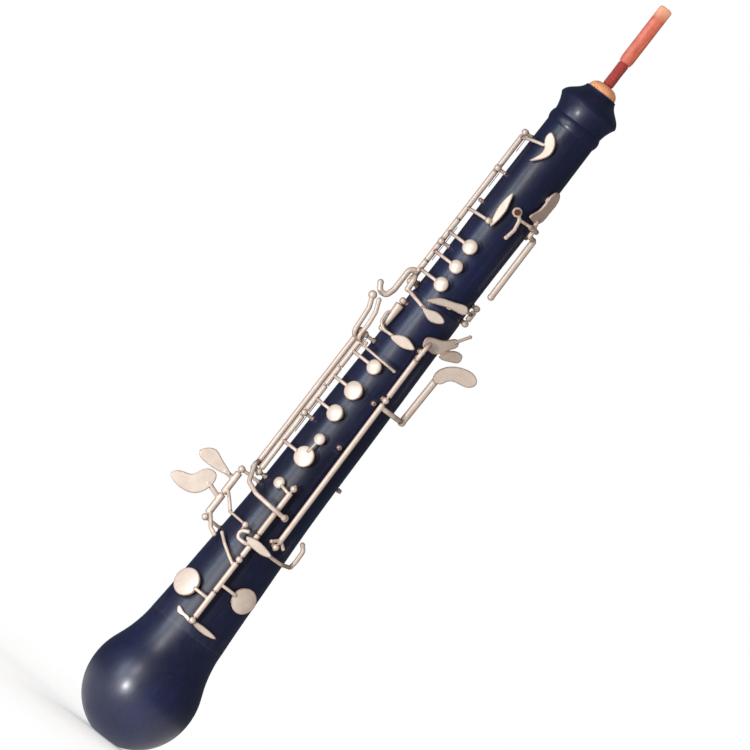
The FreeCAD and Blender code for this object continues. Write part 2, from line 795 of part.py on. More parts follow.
def build_bridge_key():
    """Bridge key: a diamond leaf that reaches over the joint to link the two sets of keys."""
    key = "bridge_key"
    leaf = [(-9.6, 427.6), (-3.0, 429.0), (3.6, 431.0), (12.4, 427.6), (4.6, 422.0), (-4.0, 423.6)]
    centre = on_wood(0.8, 428.0, 3.2)
    drop = Vector(-27.0, -15.4, 431.6)
    path = [on_rod("finger_rod", 443.6), Vector(-28.0, -14.6, 442.0), drop]
    pieces = arm(key + "_drop", path, "dims.bar_radius")
    pieces.append(ball(key + "_knee", "dims.bar_radius + dims.knuckle", drop))
    pieces += arm(key + "_arm", around(drop, on_wood(-5.0, 426.6, 4.4), 4), "dims.arm_radius + 0.2")
    pieces.append(plate(key + "_leaf", leaf, centre, 2.0))
    build_key(key, pieces)


def build_g_sharp_key():
    """G sharp key: a curved touch that crosses the front from a short rod on the right."""
    key = "g_sharp_key"
    knee = on_wood(17.0, 446.0, 6.0)
    pieces = arm(key + "_root", around(on_rod("g_sharp_rod", 446.0), knee, 2))
    blade = [(-9.6, 434.6), (-1.0, 442.4), (9.4, 446.0), (20.6, 447.8), (22.0, 444.4)]
    blade += [(12.3, 440.0), (2.0, 437.0)]
    centre = on_wood(7.0, 441.6, 3.2)
    pieces.append(plate(key + "_blade", blade, centre, 15.0))
    pieces += arm(key + "_rib", [knee, on_wood(12.0, 443.6, 4.0)])
    build_key(key, pieces)
    build_pad(key, 4.2, on_wood(8.0, 441.6, 2.0))


def octave_pivot():
    """Middle and direction of the side octave key's pivot pin, which lies across the bore."""
    lean = math.radians(size("octave_pivot_angle"))
    out = Vector(math.sin(lean), -math.cos(lean), 0)
    sideways = Vector(math.cos(lean), math.sin(lean), 0)
    middle = out * size("octave_pivot_reach") + UP * size("octave_pivot_height")
    return middle, sideways, out


def octave_pin():
    """The pivot pin of the side octave key."""
    middle, sideways, _ = octave_pivot()
    return cylinder("octave_pin", "dims.rod_radius", middle - sideways * 7.4, middle + sideways * 7.4)


def build_side_octave_key():
    """Side octave key: a long side bar, a pivot across the bore and a pad plate above it."""
    key = "side_octave_key"
    middle, sideways, out = octave_pivot()
    hinge = cylinder(key + "_tube", "dims.tube_radius", middle - sideways * 3.6, middle + sideways * 3.6)
    blade = [(17.2, 534.8), (14.0, 537.0), (16.6, 544.0), (17.4, 553.0), (17.6, 560.6), (20.6, 565.6)]
    blade += [(23.8, 561.0), (24.2, 549.0), (23.2, 538.0), (20.8, 534.8)]
    centre = out * (wood_radius(545.0) + 2.2) + UP * 545.0
    pieces = [hinge, plate(key + "_blade", blade, centre, size("octave_pivot_angle"))]
    pieces += arm(key + "_neck", [middle, out * 26.4 + UP * 538.0], "dims.arm_radius + 0.5")
    side = Vector(29.2, -7.0, 523.6)
    bend = middle + sideways * 1.4 - UP * 6.4
    pieces += arm(key + "_elbow", [middle + sideways * 1.4] + around(bend, side, 3), "dims.bar_radius - 0.4")
    pieces += arm(key + "_side_bar", [side, Vector(29.6, -7.0, 467.0)], "dims.bar_radius + 0.3", tip=True)
    body = fused(key + "_body", pieces)
    side = sideways * 9
    bore = "dims.rod_radius + dims.running_clearance"
    tunnel = cylinder(key + "_tunnel", bore, middle - side, middle + side)
    node(key, cut(key + "_key", body, tunnel))
    build_octave_pad(key, out)


def build_octave_pad(key, out):
    """The small pad under the head of the side octave key."""
    seat = out * (wood_radius(556.0) + size("pad_lift")) + UP * 556.0
    pad = cylinder(key + "_pad_disc", 3.4, seat, seat + out * 1.9)
    node(key + "_pad", group(key + "_pad_set", [pad]))


def build_octave_saddle():
    """Saddle for the side octave key: two ears with a pin, an eye for a screw and a curved guide hook."""
    middle, sideways, out = octave_pivot()
    pieces = []
    for side in (-1, 1):
        top = middle + sideways * 5.6 * side
        foot = top - out * 4.0
        pieces.append(cylinder("saddle_ear", "dims.post_radius", foot, top))
        pieces.append(ball("saddle_ear_head", "dims.post_ball_radius - 0.9", top))
        pieces.append(ball("saddle_ear_foot", "dims.post_radius", foot))
    start = middle - sideways * 5.6 - out * 4.0
    pieces.append(cylinder("saddle_base", "dims.post_radius - 0.3", start, start + sideways * 11.2))
    eye = on_wood(4.6, 533.0, 2.1)
    fork = on_wood(10.0, 529.4, 2.3)
    pieces += arm("saddle_neck", around(start, fork, 2))
    out_eye = outward(eye)
    pieces.append(cylinder("saddle_eye", 4.2, eye - out_eye * 1.3, eye + out_eye * 1.3))
    tail = [on_wood(7.7, 531.2, 2.2), fork, on_wood(11.6, 520.4, 2.3), on_wood(10.0, 511.6, 2.4)]
    pieces += arm("saddle_tail", tail, "dims.arm_radius + 0.2", tip=True)
    body = fused("octave_saddle_body", pieces)
    tunnel = cylinder("saddle_tunnel", "dims.rod_radius + 0.02", middle - sideways * 9, middle + sideways * 9)
    drilled = cut("octave_saddle_drilled", body, tunnel)
    hole = cylinder("saddle_screw_hole", "dims.screw_radius + 0.05", eye - out_eye * 3, eye + out_eye * 3)
    node("octave_saddle", cut("octave_saddle_part", drilled, hole))
    shank = cylinder("saddle_screw_shank", "dims.screw_radius", eye - out_eye * 1.6, eye + out_eye * 1.6)
    head = cylinder("saddle_screw_head", 2.6, eye + out_eye * 1.32, eye + out_eye * 2.3)
    node("octave_saddle_screw", fused("octave_saddle_screw_part", [shank, head]))


def build_thumb_octave_key():
    """Thumb octave key on the back: a round touch on one side of its rod and a small pad on the other."""
    key = "thumb_octave_key"
    touch = Vector(0.0, 27.4, 512.0)
    pieces = arm(key + "_arm", around_back(on_rod("thumb_rod", 520.0), touch))
    pieces.append(cylinder(key + "_touch", 6.0, touch - Vector(0, 1.2, 0), touch + Vector(0, 1.2, 0)))
    lean = math.radians(115.0)
    out = Vector(math.sin(lean), -math.cos(lean), 0)
    seat = out * (wood_radius(524.0) + size("pad_lift")) + UP * 524.0
    low = seat + out * (size("pad_thickness") + 0.01)
    pieces += arm(key + "_reach", around_back(on_rod("thumb_rod", 524.0), low + out * 1.6))
    pieces.append(cylinder(key + "_cup", 4.0, low, low + out * size("cup_height")))
    build_key(key, pieces)
    pad = cylinder(key + "_pad_disc", 3.4, seat, seat + out * size("pad_thickness"))
    node(key + "_pad", group(key + "_pad_set", [pad]))


def around_back(start, end, steps=3):
    """The same as around, for places behind the bore."""
    turned = [Vector(-place.x, -place.y, place.z) for place in (start, end)]
    return [Vector(-place.x, -place.y, place.z) for place in around(turned[0], turned[1], steps)]


def build_lower_finger_keys():
    """The round-cupped keys of the right hand, with their links and the second trill lever."""
    cross = around(on_rod("inner_rod", 374.4), on_wood(6.0, 372.6, 4.6), 5)
    lever = [on_rod("inner_rod", 375.4), Vector(-34.6, -20.4, 377.4), Vector(-34.2, -20.4, 389.6)]
    lever += [Vector(-35.6, -19.6, 401.0), Vector(-39.4, -18.8, 410.4)]
    extra = arm("cross_link", cross, "dims.thin_arm_radius", tip=True)
    upstand = [cross[1], cross[1] + Vector(0, -1.0, 3.0)]
    extra += arm("cross_upstand", upstand, "dims.thin_arm_radius", tip=True)
    extra += arm("second_trill_lever", lever, "dims.arm_radius + 0.4", tip=True)
    finger_key("f_sharp_key", extra)
    finger_key("e_key")
    finger_key("d_key")
    disc_place = on_wood(-8.2, 293.6, size("pad_lift") + size("pad_thickness") + 1.4)
    disc = cup("d_vent_small", 4.8, disc_place)
    path = [on_wood(-9.4, 279.4, 4.6), on_wood(-8.8, 285.0, 3.6), disc_place]
    tail = arm("d_vent_tail", path, "dims.thin_arm_radius")
    finger_key("d_vent_key", [disc] + tail)


def build_left_b_flat_key():
    """Left B flat key: a long tube with a lever at its head and a crossing arm with a pad at its foot."""
    key = "left_b_flat_key"
    lever = [on_rod("outer_rod", 376.0), Vector(-40.4, -12.6, 378.6), Vector(-41.4, -12.8, 390.0)]
    lever += [Vector(-42.4, -12.6, 401.0), Vector(-46.4, -12.2, 410.8)]
    pieces = arm(key + "_lever", lever, "dims.bar_radius - 0.3")
    pieces.append(ball(key + "_lever_end", 3.6, lever[-1]))
    over = [on_rod("outer_rod", 250.4), Vector(-38.4, -16.6, 246.4), Vector(-33.4, -25.4, 232.6)]
    over += [Vector(-23.0, -34.4, 228.6), Vector(-9.0, -40.0, 227.6), Vector(-1.5, -40.2, 227.2)]
    over += [Vector(6.2, -37.2, 226.8)]
    pieces += arm(key + "_cross", over, "dims.arm_radius + 0.5")
    pieces.append(ball(key + "_cross_end", "dims.bar_radius + dims.knuckle", over[-1]))
    foot = on_wood(7.2, 226.8, 3.6)
    pieces += arm(key + "_drop", [over[-1], foot])
    pieces.append(cup(key + "_foot", 3.2, foot))
    build_key(key, pieces)
    build_pad(key, 3.2, foot)


def build_forked_f_key():
    """Forked F key: a short thick tube with a leaf that crosses the front."""
    key = "forked_f_key"
    leaf = [(-14.2, 394.2), (-10.0, 398.0), (-3.6, 400.2), (2.4, 399.0), (7.0, 396.2)]
    leaf += [(2.0, 392.6), (-5.0, 391.0)]
    neck = [on_rod("forked_rod", 409.6), Vector(-29.0, -17.0, 407.8), Vector(-28.0, -19.4, 397.6)]
    neck += around(Vector(-22.4, -20.4, 394.0), on_wood(-11.0, 394.6, 3.8), 2)
    pieces = arm(key + "_neck", neck, "dims.arm_radius - 0.1")
    pieces.append(plate(key + "_leaf", leaf, on_wood(-3.6, 396.0, 2.4), -7.0))
    wedge = doc.addObject("Part::Cone", key + "_wedge")
    foot = on_rod("forked_rod", 400.0)
    head = on_rod("forked_rod", 418.0)
    length = (head - foot).Length
    bind(wedge, Radius1="dims.tube_radius + 0.1", Radius2="dims.tube_radius + 1.6", Height=length)
    wedge.Placement = Placement(foot, Rotation(UP, head - foot))
    build_key(key, pieces + [wedge])


def build_e_flat_lever():
    """E flat lever for the left little finger: a broad plate on the right rod, a wing and an oval touch."""
    key = "e_flat_lever"
    broad = [(9.2, 403.4), (8.6, 410.2), (14.0, 413.8), (22.8, 418.6), (29.2, 423.2), (31.4, 419.8)]
    broad += [(28.0, 413.2), (23.4, 405.6), (18.4, 402.2), (13.2, 402.2)]
    root = [on_rod("right_rod", 391.0), Vector(13.0, -33.0, 391.0)]
    root += [Vector(13.6, -32.6, 403.6), Vector(14.6, -27.6, 407.0)]
    pieces = arm(key + "_root", root, "dims.arm_radius + 0.4")
    pieces.append(plate(key + "_broad", broad, on_wood(18.0, 408.0, 4.4), 38.0))
    wing = [Vector(28.6, -15.6, 420.0), Vector(36.0, -11.0, 431.4)]
    pieces += arm(key + "_wing", wing, "dims.thin_arm_radius + 0.2", tip=True)
    oval = [(25.4, 405.0), (28.6, 411.8), (34.0, 415.8), (39.4, 415.2), (40.4, 410.8), (35.6, 406.4)]
    pieces.append(plate(key + "_oval", oval, Vector(33.0, -13.0, 410.4), 38.0))
    pieces += arm(key + "_oval_root", [on_wood(21.0, 405.6, 5.0), Vector(30.0, -15.8, 409.4)])
    build_key(key, pieces)


def build_low_b_lever():
    """Low B lever: a long tube on the right rod, an elbow to a side bar, and a bent touch at its head."""
    key = "low_b_lever"
    corner = Vector(34.4, -8.0, 344.0)
    pieces = arm(key + "_elbow", around(on_rod("right_rod", 343.6), corner, 4), "dims.bar_radius - 0.2")
    neck = Vector(35.4, -8.0, 391.0)
    pieces.append(ball(key + "_corner", "dims.bar_radius + 0.9", corner))
    pieces += arm(key + "_side_bar", [corner, neck], "dims.bar_radius + 0.6")
    touch = [(32.4, 387.0), (31.6, 394.0), (34.6, 400.0), (41.6, 406.0), (50.0, 409.4)]
    touch += [(58.6, 409.0), (62.6, 404.4)]
    touch += [(60.2, 399.4), (51.8, 396.2), (43.0, 392.4), (39.2, 386.6)]
    pieces.append(plate(key + "_touch", touch, Vector(46.0, -6.8, 399.0), 8.0, "dims.plate_thickness + 1.2"))
    root = on_rod("right_rod", 211.0)
    pieces += arm(key + "_right_prong", [root, on_wood(21.0, 206.6, 6.4)], tip=True)
    pieces += arm(key + "_left_prong", [root, on_wood(10.0, 206.0, 7.0)], tip=True)
    build_key(key, pieces)


def build_low_rocker():
    """Low rocker: a lever over the front, hooked at the right and reaching to the left touches."""
    key = "low_rocker"
    middle = on_rod("low_key_rod", 195.0)
    knob = Vector(-14.6, -34.8, 203.8)
    box = [middle, Vector(-5.0, -38.0, 191.8), Vector(-13.8, -36.6, 192.0)]
    box += [Vector(-14.8, -36.4, 198.2), Vector(-9.4, -38.0, 200.8)]
    pieces = arm(key + "_box", box, "dims.arm_radius + 0.2", tip=True)
    pieces += arm(key + "_lift", [Vector(-14.6, -36.4, 196.0), knob], "dims.thin_arm_radius")
    pieces += arm(key + "_far_left", [knob, Vector(-30.4, -21.0, 204.4)], "dims.thin_arm_radius", tip=True)
    pieces.append(ball(key + "_ball", 2.8, knob))
    bar = [(-8.0, 197.4), (1.4, 200.0), (10.0, 199.0), (17.4, 196.0), (11.0, 192.6)]
    bar += [(1.6, 192.4), (-5.0, 194.0)]
    pieces.append(plate(key + "_bar", bar, Vector(0.0, -36.8, 195.0), 3.0))
    right = [Vector(11.0, -37.0, 195.8), on_wood(19.0, 195.4, 6.2), on_wood(27.0, 195.6, 6.4)]
    right += [Vector(34.6, -9.0, 197.6)]
    pieces += arm(key + "_right", right, "dims.arm_radius + 0.2")
    hook = [right[-1], Vector(35.4, -9.0, 204.0), Vector(35.0, -9.0, 214.6), Vector(31.4, -9.6, 218.2)]
    pieces += arm(key + "_hook", hook, "dims.arm_radius + 0.4", tip=True)
    build_key(key, pieces)


def build_little_finger_touches():
    """The two right little-finger touches, side by side on one short rod at the left."""
    key = "c_sharp_touch"
    leaf = [(-79.8, 228.6), (-76.4, 233.2), (-70.4, 236.4), (-61.4, 233.4)]
    leaf += [(-48.6, 227.4), (-60.0, 223.6), (-70.8, 223.2), (-77.6, 224.8)]
    pieces = [plate(key + "_leaf", leaf, Vector(-64.0, -8.4, 229.0), 0.0, "dims.plate_thickness + 0.8")]
    pieces += [thick_tube(key)]
    root = [on_rod("little_finger_rod", 226.4), Vector(-54.0, -10.0, 227.4)]
    pieces += arm(key + "_root", root, "dims.arm_radius + 0.6")
    reach = [on_rod("little_finger_rod", 218.0), Vector(-37.6, -14.4, 212.0), Vector(-31.0, -17.4, 204.8)]
    pieces += arm(key + "_reach", reach, tip=True)
    build_key(key, pieces)
    key = "c_touch"
    banana = [(-87.0, 200.8), (-80.8, 206.4), (-72.6, 209.8), (-69.2, 216.6), (-64.0, 221.4), (-57.8, 221.2)]
    banana += [(-55.2, 216.0), (-55.8, 208.6), (-59.4, 201.2), (-66.8, 196.0), (-76.5, 195.0), (-83.6, 196.6)]
    pieces = [plate(key + "_banana", banana, Vector(-70.0, -8.4, 206.0), 0.0, "dims.plate_thickness + 0.8")]
    pieces += [thick_tube(key)]
    root = [on_rod("little_finger_rod", 207.0), Vector(-59.0, -10.0, 212.0)]
    pieces += arm(key + "_root", root, "dims.arm_radius + 0.6")
    elbow = [on_rod("little_finger_rod", 195.0), Vector(-39.4, -14.0, 190.0)]
    elbow += [Vector(-35.0, -17.6, 184.6), Vector(-29.8, -19.8, 182.4)]
    pieces += arm(key + "_elbow", elbow, "dims.arm_radius + 0.3", tip=True)
    build_key(key, pieces)


def build_low_keys():
    """The large low-note keys and the small vent key on the middle rod."""
    tail = around(on_rod("low_key_rod", 171.6), on_wood(-26.6, 187.2, 6.8), 3)
    finger_key("low_c_key", arm("low_c_tail", tail, tip=True))
    finger_key("low_b_key")
    finger_key("c_sharp_vent_key")


def thumb_rest_screws():
    """Start and end of the thumb rest's two wood screws, on the back of the lower joint."""
    places = []
    for height in (292.0, 312.0):
        surface = wood_radius(height)
        places.append((Vector(0, surface - 5.0, height), Vector(0, surface + 3.0, height)))
    return places


def build_thumb_rest():
    """Thumb rest: a base plate curved to the wood, a hook for the thumb and two screws."""
    low, high = 286.0, 318.0
    outer = cylinder("thumb_base_outer", wood_radius(low) + 2.0, UP * low, UP * high)
    inner = cylinder("thumb_base_inner", wood_radius(low) + 0.3, UP * (low - 1), UP * (high + 1))
    shell = cut("thumb_base_shell", outer, inner)
    window = doc.addObject("Part::Box", "thumb_base_window")
    bind(window, Length=12.0, Width=20.0, Height=high - low)
    window.Placement = Placement(Vector(-6.0, 15.0, low), Rotation())
    base = doc.addObject("Part::Common", "thumb_base")
    base.Base = shell
    base.Tool = window
    hook = doc.addObject("Part::Box", "thumb_hook")
    bind(hook, Length=11.0, Width=19.0, Height=3.0)
    hook.Placement = Placement(Vector(-5.5, 27.0, 301.0), Rotation())
    rounded = doc.addObject("Part::Fillet", "thumb_hook_rounded")
    rounded.Base = hook
    rounded.Edges = [(3, 4.0, 4.0), (7, 4.0, 4.0)]
    body = fused("thumb_rest_body", [base, rounded])
    holes = []
    for start, end in thumb_rest_screws():
        holes.append(cylinder("thumb_hole", "dims.screw_radius + 0.1", start, end))
    node("thumb_rest", cut("thumb_rest_part", body, group("thumb_holes", holes)))
    screws = []
    for start, end in thumb_rest_screws():
        head_low = Vector(0, wood_radius(low) + 2.02, start.z)
        shank = cylinder("thumb_screw_shank", "dims.screw_radius", start + Vector(0, 0.6, 0), head_low)
        head = cylinder("thumb_screw_head", 2.2, head_low, head_low + Vector(0, 1.0, 0))
        screws.append(fused("thumb_screw", [shank, head]))
    node("thumb_rest_screws", group("thumb_screw_set", screws))


# ---------------------------------------------------------------- reed


def build_reed():
    """Double reed: a metal staple in a cork, wound with thread, and two cane blades."""
    top = size("upper_top")
    staple = doc.addObject("PartDesign::Body", "reed_staple")
    outer = size("staple_radius")
    inner = outer - size("staple_wall")
    foot = top - size("reed_well_depth") + 0.4
    end = size("staple_top")
    section = [(inner, foot), (outer, foot), (outer, end), (inner, end)]
    turn(staple, "Revolution", "staple_tube", chain(section))
    node("reed_staple", staple)
    cork = doc.addObject("PartDesign::Body", "reed_cork")
    plug = size("reed_well_radius") - size("cork_clearance")
    rim = size("reed_cork_radius")
    neck = size("reed_cork_top_radius")
    crown = size("reed_cork_top")
    dome = [(rim, top + 0.02), (rim - 1.0, top + 3.4), (rim - 4.0, top + 6.4), (neck, crown)]
    bare = outer + 0.01
    shoulder = (plug, top + 0.02)
    runs = [[(bare, foot), (plug, foot)], [(plug, foot), shoulder], [shoulder, dome[0]], dome]
    runs += [[dome[-1], (bare, crown)], [(bare, crown), (bare, foot)]]
    turn(cork, "Revolution", "cork_turning", runs)
    node("reed_cork", cork)
    thread = doc.addObject("PartDesign::Body", "reed_thread")
    wound = size("thread_radius")
    core = 3.1
    waist = crown + 0.02
    end = size("thread_top")
    start = size("blade_root")
    profile_points = [(bare, waist), (wound - 0.4, waist), (wound, waist + 2), (wound, end - 1.5)]
    profile_points += [(wound - 0.5, end), (core, end), (core, start - 0.2), (bare, start - 0.2)]
    turn(thread, "Revolution", "thread_winding", chain(profile_points))
    node("reed_thread", thread)
    build_blades()


def build_blades():
    """Two cane blades, each a curved shell with a half-round root under the thread."""
    half = size("blade_half_width")
    rise = size("blade_rise")
    wall = size("blade_wall")
    base = size("thread_top") + 0.02
    tip = size("blade_top")
    outer_radius = (half ** 2 + rise ** 2) / (2 * rise)
    hollow = rise - wall
    inner_half = half - 0.9
    inner_radius = (inner_half ** 2 + hollow ** 2) / (2 * hollow)
    blades = []
    for facing in (-1, 1):
        axis = Vector(0, -facing * (outer_radius - rise), 0)
        shell = cylinder("blade_outer", outer_radius, axis + UP * base, axis + UP * tip)
        axis = Vector(0, -facing * (inner_radius - hollow), 0)
        hollow_tool = cylinder("blade_inner", inner_radius, axis + UP * (base - 1), axis + UP * (tip - 6))
        window = doc.addObject("Part::Box", "blade_window")
        bind(window, Length=2 * half + 2, Width=6.0, Height=tip - base)
        side = size("blade_gap") / 2 if facing > 0 else -6.0 - size("blade_gap") / 2
        window.Placement = Placement(Vector(-half - 1, side, base), Rotation())
        rounded = doc.addObject("Part::Box", "blade_tip_box")
        bind(rounded, Length=2 * half, Width=12.0, Height=tip - base + 10)
        rounded.Placement = Placement(Vector(-half, -6.0, base - 10), Rotation())
        tip_shape = doc.addObject("Part::Fillet", "blade_tip")
        tip_shape.Base = rounded
        corner = size("blade_corner")
        tip_shape.Edges = [(2, corner, corner), (6, corner, corner)]
        lens = doc.addObject("Part::MultiCommon", "blade_lens")
        lens.Shapes = [shell, window, tip_shape]
        blade = cut("blade_shell", lens, hollow_tool)
        root = doc.addObject("Part::Cylinder", "blade_root_tube")
        bind(root, Radius=3.05, Height=base - size("blade_root") + 3, Angle=176.0)
        turn_angle = 2.0 if facing > 0 else 182.0
        root.Placement = Placement(UP * size("blade_root"), Rotation(UP, turn_angle))
        low = UP * (size("blade_root") - 1)
        root_hole = cylinder("blade_root_hole", size("staple_radius") + 0.02, low, UP * (base + 4))
        blades.append(fused("blade", [blade, cut("blade_root", root, root_hole)]))
    node("reed_blades", group("reed_blade_set", blades))


# ---------------------------------------------------------------- assembly


def build_all():
    """Build every sub-part."""
    build_bell()
    build_lower_joint()
    build_upper_joint()
    build_tenon_cork("lower_tenon_cork", size("bell_socket_radius"), size("bell_top"))
    build_tenon_cork("upper_tenon_cork", size("joint_socket_radius"), size("lower_top"))
    build_posts()
    build_rods_and_springs()
    build_upper_finger_keys()
    build_half_hole_key()
    build_trill_key()
    build_bridge_key()
    build_g_sharp_key()
    build_side_octave_key()
    build_octave_saddle()
    build_thumb_octave_key()
    build_lower_finger_keys()
    build_left_b_flat_key()
    build_forked_f_key()
    build_e_flat_lever()
    build_low_b_lever()
    build_low_rocker()
    build_little_finger_touches()
    build_low_keys()
    build_thumb_rest()
    build_reed()


def check_and_export():
    """Stop on any failed object, then write each sub-part's STEP file."""
    doc.recompute()
    problems = []
    for item in doc.Objects:
        if "Invalid" in item.State or "Error" in item.State:
            problems.append(f"{item.Name} failed: {item.State}")
    for label, piece in NODES.items():
        if piece.Shape.isNull() or not piece.Shape.isValid():
            problems.append(f"{label} has no valid shape")
    if problems:
        raise RuntimeError("; ".join(problems))
    os.makedirs("parts", exist_ok=True)
    for label, piece in NODES.items():
        piece.Shape.exportStep(f"parts/{label}.step")
        print(f"{label}: {len(piece.Shape.Solids)} solids, volume {piece.Shape.Volume:.1f}")


fill_sheet()
build_all()
check_and_export()
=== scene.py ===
import json
import math

import bmesh
import bpy
from mathutils import Matrix, Vector, noise

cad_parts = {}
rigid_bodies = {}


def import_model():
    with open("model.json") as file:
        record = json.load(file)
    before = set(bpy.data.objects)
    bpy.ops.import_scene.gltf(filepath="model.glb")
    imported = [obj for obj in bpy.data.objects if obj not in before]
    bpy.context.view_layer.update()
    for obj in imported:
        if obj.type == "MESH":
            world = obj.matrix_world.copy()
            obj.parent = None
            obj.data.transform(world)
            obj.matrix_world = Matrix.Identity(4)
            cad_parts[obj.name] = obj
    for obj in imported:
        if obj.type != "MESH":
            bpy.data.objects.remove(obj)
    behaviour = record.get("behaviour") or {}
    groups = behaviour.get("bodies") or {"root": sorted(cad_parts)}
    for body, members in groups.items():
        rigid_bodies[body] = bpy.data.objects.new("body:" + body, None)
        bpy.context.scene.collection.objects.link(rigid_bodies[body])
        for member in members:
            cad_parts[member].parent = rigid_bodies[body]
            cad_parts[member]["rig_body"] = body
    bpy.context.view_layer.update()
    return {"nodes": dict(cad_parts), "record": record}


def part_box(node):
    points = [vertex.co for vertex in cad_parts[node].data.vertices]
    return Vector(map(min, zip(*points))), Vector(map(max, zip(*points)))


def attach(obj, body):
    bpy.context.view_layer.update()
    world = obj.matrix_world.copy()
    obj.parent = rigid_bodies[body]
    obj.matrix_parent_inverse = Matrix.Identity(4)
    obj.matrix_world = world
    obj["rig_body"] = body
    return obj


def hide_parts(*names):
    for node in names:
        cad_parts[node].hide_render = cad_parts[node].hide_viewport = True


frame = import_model()
nodes = frame["nodes"]
slot_of = {part["node"]: part["material_slot"] for part in frame["record"]["subparts"]}

MM = 0.001
GAP = 0.02 * MM             # keeps faces of neighbouring pieces apart
HALF_BLEND = 0.5            # layer weight that follows the viewing angle evenly
EDGE_ROLL = 1.7 * MM        # how far in from an edge a key's normals roll over and its painted edge shade reaches

# Voxel size in millimetres and rounds of smoothing for the softened copies.
KEY_SOFTENING = (0.28, 10)
PAD_SOFTENING = (0.25, 8)
CORK_SOFTENING = (0.33, 4)
CORK_GRAIN = 900.0
CORK_DEPTH = 0.06 * MM

# The thread winding.
THREAD_PITCH = 0.62 * MM
STEPS_PER_TURN = 8
THREAD_SIDES = 56
THREAD_RIDGE = 0.17 * MM
THREAD_CORE = 3.1 * MM      # inner radius where the thread wraps the blades' roots
THREAD_CORE_RISE = 10.2 * MM

# The two blades.
BLADE_STEPS = 60
BLADE_SIDES = 20
BLADE_CORNER = 2.4 * MM
BLADE_WALL = 1.0 * MM
BLADE_GAP = 0.08 * MM
SCRAPE_START = 0.70         # share of a blade's length where the scrape begins

# The floor: a disc that is whole near the oboe and fades out between two radii.
FLOOR_DROP = 0.5 * MM
FLOOR_RADII = (0.0001, 0.3, 1.0, 2.8)
FLOOR_SIDES = 96
FADE_START = 0.10
FADE_END = 0.50
FLOOR_GLOW = 0.34

# Strength of the surroundings as the camera, the surfaces and the reflections see them.
BACKDROP = 1.0
ROOM_LIGHT = 0.42
ROOM_REFLECTION = 0.13

# The view: lens and sensor in millimetres, the width of scene that fills the frame, and its tilt.
LENS = 400.0
SENSOR = 36.0
VIEW_WIDTH = 0.600
VIEW_TARGET = (-0.0058, 0.0, 0.3611)
VIEW_ROLL = math.radians(37.67)
FAR_CLIP = 30.0


# ---------------------------------------------------------------- node helpers

